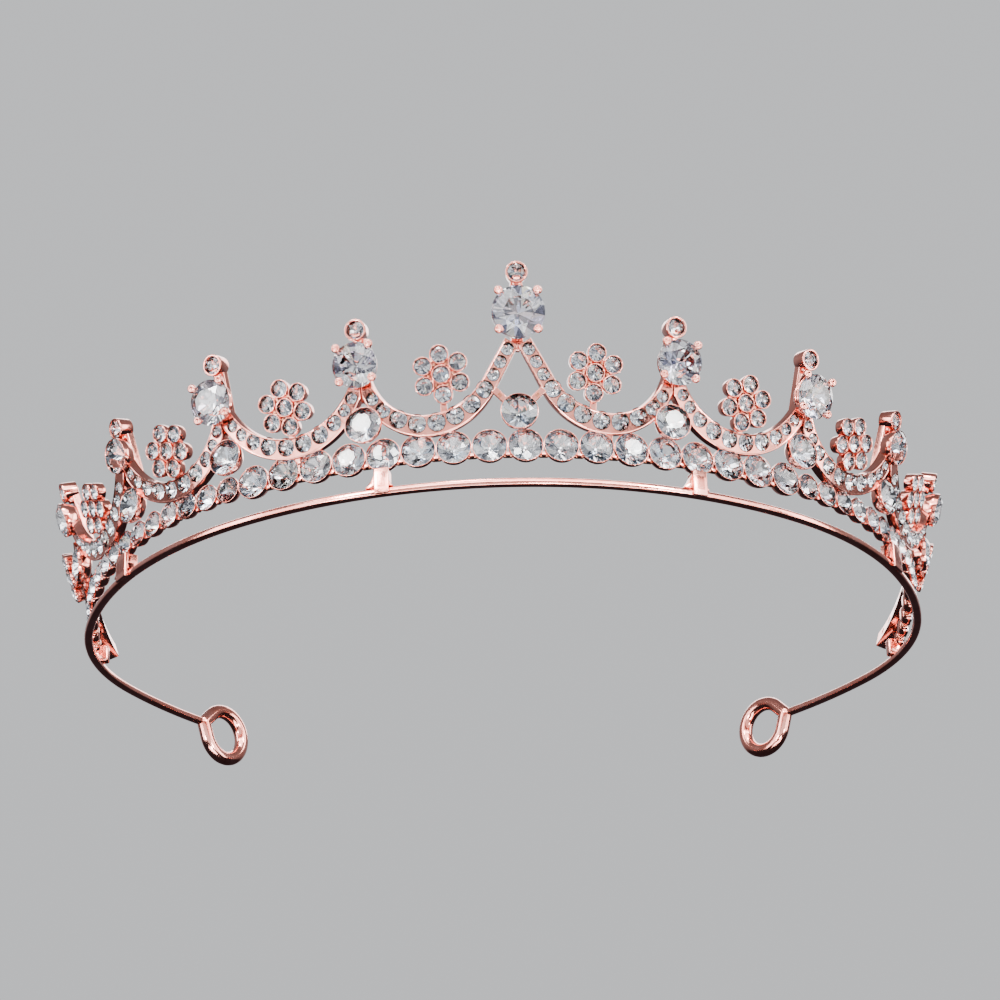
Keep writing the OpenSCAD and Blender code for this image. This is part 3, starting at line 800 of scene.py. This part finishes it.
def festoon(b, side):
    r0, r1 = BAY_R0[b], BAY_R1[b]
    l0 = r0 * math.radians(BAY_A0[b]) + (RISE if b == 0 else 1.6)
    l1 = r1 * math.radians(BAY_A1[b]) + 1.4
    lo, hi = PEAK_S[b], PEAK_S[b + 1]

    def loop_at(inset):
        ls = np.linspace(-l0 + inset, l1 - inset, 64)
        outer, inner = [], []
        for l in ls:
            s, z, a = bay_point(b, float(l))
            wo = 0.65 + 1.1 * math.cos(a) - inset
            wi = 0.90 + 0.25 * math.cos(a) - inset
            if b == 0 and l < -r0 * math.radians(60):
                t = min(1.0, (-l - r0 * math.radians(60)) / RISE)
                wo, wi = wo - 0.18 * t, wi - 0.05 * t
            for lst, w in ((outer, -wo), (inner, wi)):
                x, y = s - w * math.sin(a), z + w * math.cos(a)
                lst.append((min(max(x, lo + 0.07 + inset * 0.5), hi - 0.07 - inset * 0.5), y))
        return outer + inner[::-1]

    p = Piece()
    casting(p, loop_at, run_stones(b), side)
    s, z, _ = bay_point(b, 0.0)
    m = leaning(side * s, z, 0)
    p.add(*block(-0.45, 0.45, 0.35, 1.15, -2.6, -1.2, 0.15, 3), m)
    if b == 0:
        a, c = Vector((side * 3.35, 13.35)), Vector((side * 1.75, 11.75))
        mid = (a + c) / 2
        ang = math.atan2(c.y - a.y, c.x - a.x)
        strut = leaning(float(mid.x), float(mid.y), 0) @ Matrix.Rotation(-ang, 4, "Y")
        half = (c - a).length / 2
        p.add(*block(-half - 0.1, half + 0.1, -0.05, 0.8, -0.50, 0.50, 0.12, 3), strut)
        # A small patch on the strut's face in the darker gold: painted shade, as of a hollow there.
        p.add(*block(-0.32, 0.32, -0.09, 0.0, -0.26, 0.26, 0.03, 2), strut, 1)
    n = "abcd"[b] + "_" + side_name(side)
    p.make("festoon_casting_" + n, ["festoon_" + n], "rose_gold", METAL)


def tail_stones():
    out = []
    for i in range(7):
        a = math.radians(TAIL_A[0] + 2.2 + i * (TAIL_A[1] - TAIL_A[0] - 3.2) / 6.6)
        out.append((TAIL_C[0] + TAIL_R * math.cos(a), TAIL_C[1] + TAIL_R * math.sin(a), 2.3 - 0.06 * i))
    return out


def tail(side):
    a0, a1 = math.radians(TAIL_A[0] - 1.0), math.radians(TAIL_A[1])

    def loop_at(inset):
        outer, inner = [], []
        for t in np.linspace(a0 + inset / TAIL_R, a1 - inset / TAIL_R, 48):
            for lst, w in ((outer, 1.22 - inset), (inner, -1.12 + inset)):
                x = TAIL_C[0] + (TAIL_R + w) * math.cos(t)
                lst.append((max(x, PEAK_S[4] + 0.07 + inset * 0.5), TAIL_C[1] + (TAIL_R + w) * math.sin(t)))
        return outer + inner[::-1]

    p = Piece()
    casting(p, loop_at, tail_stones(), side)
    n = side_name(side)
    p.make("tail_casting_" + n, ["tail_" + n], "rose_gold", METAL)


def pave(side):
    q = Piece()
    for s, z, d in [stone for b in range(4) for stone in run_stones(b)] + tail_stones():
        cut = gem(d, 0.54, 0.13, 0.36, 0.05, 1, 0.4, 0.8)
        add_stone(q, cut, leaning(side * s, z, -SEAT + 0.03), rng.uniform(0, 45), 4)
    n = side_name(side)
    q.make("pave_" + n, ["pave_stones_" + n], "rhinestone", STONE, smooth=False)


# ------------------------------------------------------------------ stones under the peaks
def sides(i):
    return (1,) if i == 0 else (1, -1)


def under():
    p, q = Piece(), Piece()
    cut = gem(UNDER_D, 0.56, 0.13, 0.39, 0.05, 2, 0.3, 0.75)
    for i in range(5):
        for side in sides(i):
            m = stand(side * PEAK_S[i], UNDER_Z[i], lean_out(UNDER_Z[i]) + 0.75, 3)
            p.add(*cup(UNDER_D, 0.1, 2.15), m)
            add_stone(q, cut, m, rng.uniform(0, 45), 3)
    p.make("under_peak_cups", ["under_cups"], "rose_gold", METAL)
    q.make("under_peak_stones", ["under_stones"], "rhinestone", STONE, smooth=False)


# ------------------------------------------------------------------ peaks
def stem(i, side):
    p = Piece()
    z0, z1 = (18.6 if i == 0 else 13.4), FINIAL_Z[i]
    tall = (z1 - z0) / math.cos(math.radians(LEAN))
    m = leaning(side * PEAK_S[i], z1)
    p.add(*block(-0.88, 0.88, CAST + 0.04, CAST + 1.3, -tall + 0.05, -0.5, 0.22, 3), m)
    p.add(*block(-0.62, 0.62, 1.1, CAST + 0.8, -1.9, -0.3, 0.3, 3), m)
    b = m @ Matrix.Translation((0, 0.5, 0))
    r = 1.58
    inn = 1.27
    deep = CAST + 0.75
    prof = [(0, 1.2), (0.7, 1.15), (inn, 0.34), (inn + 0.02, 0.03), (inn + 0.06, 0.0), (r - 0.07, -0.01),
            (r, 0.08), (r - 0.02, 0.5), (r - 0.22, deep), (0, deep)]
    p.add(*lathe(rounded(prof, [0, 0.1, 0.1, 0.04, 0.03, 0.06, 0.06, 0.2, 0.2, 0], 2), 32), b)
    n = peak_name(i, side)
    p.make("stem_casting_" + n, ["stem_" + n], "rose_gold", METAL)


def finials():
    q = Piece()
    for i in range(5):
        for side in sides(i):
            m = leaning(side * PEAK_S[i], FINIAL_Z[i], -0.5 - SEAT - 0.10)
            add_stone(q, gem(2.5, 0.54, 0.13, 0.36, 0.05, 2, 0.4, 0.8), m, rng.uniform(0, 45), 5)
    q.make("finial_gems", ["finial_stones"], "rhinestone", STONE, smooth=False)


def basket(i, side):
    """Four-claw head: base, two bearing rings, claws that end in small dimpled balls."""
    d = PEAK_D[i]
    deep = PEAK_OUT[i] + CAST
    m = leaning(side * PEAK_S[i], PEAK_Z[i], PEAK_OUT[i])
    p = Piece()
    top = max(deep - 0.75, 0.425 * d + 0.04)
    p.add(*lathe([(0, top), (0.10 * d, top), (0.17 * d, top - 0.06 * d), (0.20 * d, top - 0.05 * d),
                  (0.21 * d, top), (0.20 * d, deep - 0.03), (0, deep - 0.03)], 28), m)
    for r, y, w in ((0.385 * d, 0.22 * d, 0.36), (0.45 * d, 0.09 * d, 0.2)):
        ring = [(r * math.cos(a), y, r * math.sin(a)) for a in np.linspace(0, 2 * math.pi, 41)[:-1]]
        p.add(*tube(ring, w, 10, closed=True), m)
    tip = lathe(rounded([(0, -0.13), (0.18, -0.18), (0.34, -0.30), (0.54, -0.24), (0.65, 0.02), (0.60, 0.30),
                         (0.40, 0.50), (0, 0.56)], 0.08, 2), 20)
    up = Vector((0, 0, 0.3))
    for k in range(4):
        a = math.radians(45 + 90 * k)
        u = Vector((math.cos(a), 0, math.sin(a)))
        top = u * (0.515 * d) + up + Vector((0, -0.40, 0))
        p0 = u * (0.15 * d) + Vector((0, deep - 0.45, 0))
        p1 = u * (0.36 * d) + Vector((0, 0.30 * d, 0)) + up * 0.4
        p2 = u * (0.50 * d) + Vector((0, 0.08 * d, 0)) + up * 0.8
        pts = []
        for t in np.linspace(0, 1, 15):
            q = p0 * (1 - t) ** 3 + p1 * 3 * t * (1 - t) ** 2 + p2 * 3 * t * t * (1 - t) + top * t ** 3
            pts.append(tuple(q))
        p.add(*tube(pts, [0.34 + 0.1 * t for t in np.linspace(0, 1, 15)], 12), m)
        p.add(*tip, m @ Matrix.Translation(top - Vector((0, 0.02, 0))))
    n = peak_name(i, side)
    p.make("claw_basket_" + n, ["basket_" + n], "rose_gold", METAL, angle=50)


def brilliants():
    a, b = Piece(), Piece()
    for i in range(3):
        for side in sides(i):
            q = a if i == 0 else b
            m = leaning(side * PEAK_S[i], PEAK_Z[i], PEAK_OUT[i])
            cut = gem(PEAK_D[i], 0.57, 0.15, 0.405, 0.02, 3, 0.5, 0.80, 0.03)
            add_stone(q, cut, m, rng.uniform(0, 45), 1.5)
    a.make("brilliant_middle", ["brilliant_centre"], "brilliant", BRILLIANT, smooth=False)
    b.make("brilliants_flank", ["brilliants_side"], "brilliant", BRILLIANT, smooth=False)


def peak_cups():
    p, q = Piece(), Piece()
    for i in (3, 4):
        for side in sides(i):
            m = leaning(side * PEAK_S[i], PEAK_Z[i], PEAK_OUT[i])
            d = PEAK_D[i]
            p.add(*cup(d, 0.1, PEAK_OUT[i] + CAST), m)
            add_stone(q, gem(d, 0.56, 0.13, 0.38, 0.05, 2, 0.4, 0.75), m, rng.uniform(0, 45), 3)
    p.make("outer_peak_cups", ["peak_cups"], "rose_gold", METAL)
    q.make("outer_peak_stones", ["peak_stones"], "rhinestone", STONE, smooth=False)


# ------------------------------------------------------------------ flowers
def petal_places(b, side):
    m = leaning(side * FLOWER_S[b], FLOWER_Z[b], 0.3 + (0.9 if b == 4 else 0))
    out = [m]
    for k in range(6):
        a = math.radians(FLOWER_TURN[b] + 60 * k) * side
        out.append(m @ Matrix.Translation((PETAL_RING * math.sin(a), 0, PETAL_RING * math.cos(a))))
    return m, out


def flower(b, side):
    p = Piece()
    m, places = petal_places(b, side)
    deep = 1.5
    shape = bezel(PETAL_RIM, PETAL_D, deep)
    for k, q in enumerate(places):
        p.add(*shape, q @ Matrix.Rotation(math.radians(rng.uniform(-2, 2)), 4, "X"))
    for k in range(6):
        a = (math.radians(FLOWER_TURN[b] + 60 * k + 30)) * side
        c = m @ Matrix.Translation((1.72 * math.sin(a), 0.25, 1.72 * math.cos(a)))
        # The cones between the petals take the darker gold: painted shade between the petals.
        p.add(*lathe([(0, -0.02), (0.22, 0.05), (0.36, 0.3), (0.4, 1.1), (0, 1.15)], 12), c, 1)
    p.add(*lathe(rounded([(0, deep - 0.5), (PETAL_RING - 0.35, deep - 0.5), (PETAL_RING - 0.2, deep - 0.25),
                          (PETAL_RING - 0.35, deep), (0, deep)], 0.1, 2), 32), m)
    foot_to = bay_point(b, FLOWER_S[b] - BAY_S[b])[1] if b < 4 else 8.0
    foot = (FLOWER_Z[b] - foot_to - 0.8) / math.cos(math.radians(LEAN))
    p.add(*block(-0.48, 0.48, deep - 0.6, deep - 0.02, -foot, -1.3, 0.15, 3), m)
    n = "abcde"[b] + "_" + side_name(side)
    p.make("flower_bezels_" + n, ["flower_" + n], "rose_gold", METAL)


def flower_stones(side):
    q = Piece()
    cut = gem(PETAL_D, 0.54, 0.13, 0.38, 0.05, 2, 0.4, 0.8)
    for b in range(5):
        _, places = petal_places(b, side)
        for m in places:
            seat = m @ Matrix.Translation((0, SEAT - 0.02, 0))
            add_stone(q, cut, seat, rng.uniform(0, 45), 4)
    n = side_name(side)
    q.make("flower_gems_" + n, ["flower_stones_" + n], "rhinestone", STONE, smooth=False)


sweep_band()
for side in (-1, 1):
    end_loop(side)
post(POST_S[0], POST_W, "tab_front_left", "post_front_left")
post(POST_S[1], POST_W, "tab_front_right", "post_front_right", True)
post(-POST_SIDE_S, POST_SIDE_W, "tab_side_left", "post_side_left")
post(POST_SIDE_S, POST_SIDE_W, "tab_side_right", "post_side_right")
rail_front()
for side in (-1, 1):
    rail_side(side)
    for b in range(4):
        festoon(b, side)
    tail(side)
    pave(side)
under()
for i in range(5):
    for side in sides(i):
        stem(i, side)
finials()
for i in range(3):
    for side in sides(i):
        basket(i, side)
brilliants()
peak_cups()
for side in (-1, 1):
    for b in range(5):
        flower(b, side)
    flower_stones(side)


# ------------------------------------------------------------------ stage
def stage_material(name, a, b):
    m, nt, sh = new_material(name)
    n = noise(nt, 260, 3)
    col = ramp(nt, n.outputs["Fac"], [(0.35, a), (0.65, b)])
    nt.links.new(col.outputs[0], sh.inputs["Base Color"])
    sh.inputs["Roughness"].default_value = 0.9
    sh.inputs["Specular IOR Level"].default_value = 0.1
    out = next(n for n in nt.nodes if n.type == "OUTPUT_MATERIAL")
    geo = nt.nodes.new("ShaderNodeNewGeometry")
    clr = nt.nodes.new("ShaderNodeBsdfTransparent")
    mix = nt.nodes.new("ShaderNodeMixShader")
    nt.links.new(geo.outputs["Backfacing"], mix.inputs[0])
    nt.links.new(sh.outputs[0], mix.inputs[1])
    nt.links.new(clr.outputs[0], mix.inputs[2])
    nt.links.new(mix.outputs[0], out.inputs[0])
    return m


def plane(name, corners, mat):
    me = bpy.data.meshes.new(name)
    me.from_pydata([tuple(c) for c in corners], [], [tuple(range(len(corners)))])
    me.materials.append(mat)
    ob = bpy.data.objects.new(name, me)
    bpy.context.scene.collection.objects.link(ob)
    ob.visible_shadow = False
    ob.visible_diffuse = False
    ob.visible_glossy = False
    return ob


# ------------------------------------------------------------------ camera
YAW, PITCH_UP, ROLL = -0.05786, 0.45142, -0.03665
AIM = Vector((-2.7256, 5.6345 - Y_MID, 0.086 + LIFT)) * MM
DIST, LENS = 0.4393, 113.885
look = Vector((-math.sin(YAW) * math.cos(PITCH_UP), math.cos(YAW) * math.cos(PITCH_UP), math.sin(PITCH_UP)))
right = Vector((math.cos(YAW), math.sin(YAW), 0))
upward = right.cross(look)
right2 = right * math.cos(ROLL) + upward * math.sin(ROLL)
up2 = upward * math.cos(ROLL) - right * math.sin(ROLL)
cam = bpy.data.objects.new("camera", bpy.data.cameras.new("camera"))
bpy.context.scene.collection.objects.link(cam)
cam.data.lens, cam.data.sensor_width = LENS, 36.0
cam.data.clip_start, cam.data.clip_end = 0.01, 20
rot = Matrix((right2, up2, -look)).transposed()
cam.matrix_world = Matrix.Translation(AIM - look * DIST) @ rot.to_4x4()
bpy.context.scene.camera = cam

# Level floor under the loops. It is one-sided, because the camera of the main view stands lower than it.
paper = stage_material("paper", (0.250, 0.254, 0.262), (0.268, 0.272, 0.280))
FLOOR_HALF, FLOOR_Z = 0.9, -0.0002
corners = [(x * FLOOR_HALF, y * FLOOR_HALF, FLOOR_Z) for x, y in ((-1, -1), (1, -1), (1, 1), (-1, 1))]
plane("floor", corners, paper)


# ------------------------------------------------------------------ light
def area(name, place, target, size, power, color=(1, 1, 1), size_y=None):
    data = bpy.data.lights.new(name, "AREA")
    data.energy, data.color = power, color
    data.shape, data.size, data.size_y = "RECTANGLE", size, size_y or size
    ob = bpy.data.objects.new(name, data)
    bpy.context.scene.collection.objects.link(ob)
    ob.location = place
    ob.rotation_mode = "QUATERNION"
    ob.rotation_quaternion = (Vector(target) - Vector(place)).to_track_quat("-Z", "Y")
    return ob


mid = (0, 0, 0.015)
area("canopy", (-0.10, -0.60, 0.64), mid, 1.15, 11.0, (1.0, 0.985, 0.98), 0.42)
area("front", (0.0, -0.86, -0.20), mid, 1.0, 2.8, (1, 1, 1), 0.50)
area("flank_left", (-0.66, -0.54, 0.02), mid, 0.42, 6.0, (0.97, 0.98, 1.0), 0.80)
area("flank_right", (0.66, -0.54, 0.05), mid, 0.42, 6.0, (1.0, 0.98, 0.97), 0.80)
area("brow", (0.0, -0.80, 0.37), mid, 0.95, 6.0, (1, 1, 1), 0.15)
area("under_front", (0.0, -0.44, -0.72), mid, 0.9, 8.0, (1, 1, 1), 0.26)
SPARKS = [(-0.44, -0.60, 0.36), (0.44, -0.60, 0.34), (-0.50, -0.62, -0.26), (0.50, -0.62, -0.30),
          (-0.10, -0.48, 0.70), (0.12, -0.60, -0.56)]
for k, place in enumerate(SPARKS):
    area(f"spark_{k}", place, mid, 0.12, 4.0)
area("side_left", (-0.85, -0.30, 0.10), mid, 0.25, 6.0, (0.94, 0.96, 1.0), 0.8)
area("side_right", (0.85, -0.20, 0.15), mid, 0.25, 6.0, (1.0, 0.96, 0.94), 0.8)
area("behind", (0.20, 0.7, 0.60), mid, 0.9, 8.0, (1, 1, 1), 0.5)

world = bpy.data.worlds.new("studio")
world.use_nodes = True
bpy.context.scene.world = world
nt = world.node_tree
bg = nt.nodes["Background"]
tc = nt.nodes.new("ShaderNodeTexCoord")
sepz = nt.nodes.new("ShaderNodeSeparateXYZ")
nt.links.new(tc.outputs["Generated"], sepz.inputs[0])
height = remap(nt, sepz.outputs["Z"], 0, 1, -1, 1).outputs[0]
# The surround that lights the tiara is dark below; the one that the camera sees is an even pale grey.
grad = ramp(nt, height,
            [(0.0, (0.04, 0.04, 0.05)), (0.44, (0.06, 0.06, 0.08)), (0.53, (0.45, 0.46, 0.50)),
             (0.75, (0.75, 0.76, 0.80)), (1.0, (0.45, 0.45, 0.48))])
nt.links.new(grad.outputs[0], bg.inputs["Color"])
bg.inputs["Strength"].default_value = 0.6
seen = nt.nodes.new("ShaderNodeBackground")
wall = ramp(nt, height, [(0.0, (0.66, 0.67, 0.69)), (1.0, (0.72, 0.73, 0.75))])
nt.links.new(wall.outputs[0], seen.inputs["Color"])
path = nt.nodes.new("ShaderNodeLightPath")
pick = nt.nodes.new("ShaderNodeMixShader")
nt.links.new(path.outputs["Is Camera Ray"], pick.inputs[0])
nt.links.new(bg.outputs[0], pick.inputs[1])
nt.links.new(seen.outputs[0], pick.inputs[2])
nt.links.new(pick.outputs[0], nt.nodes["World Output"].inputs[0])
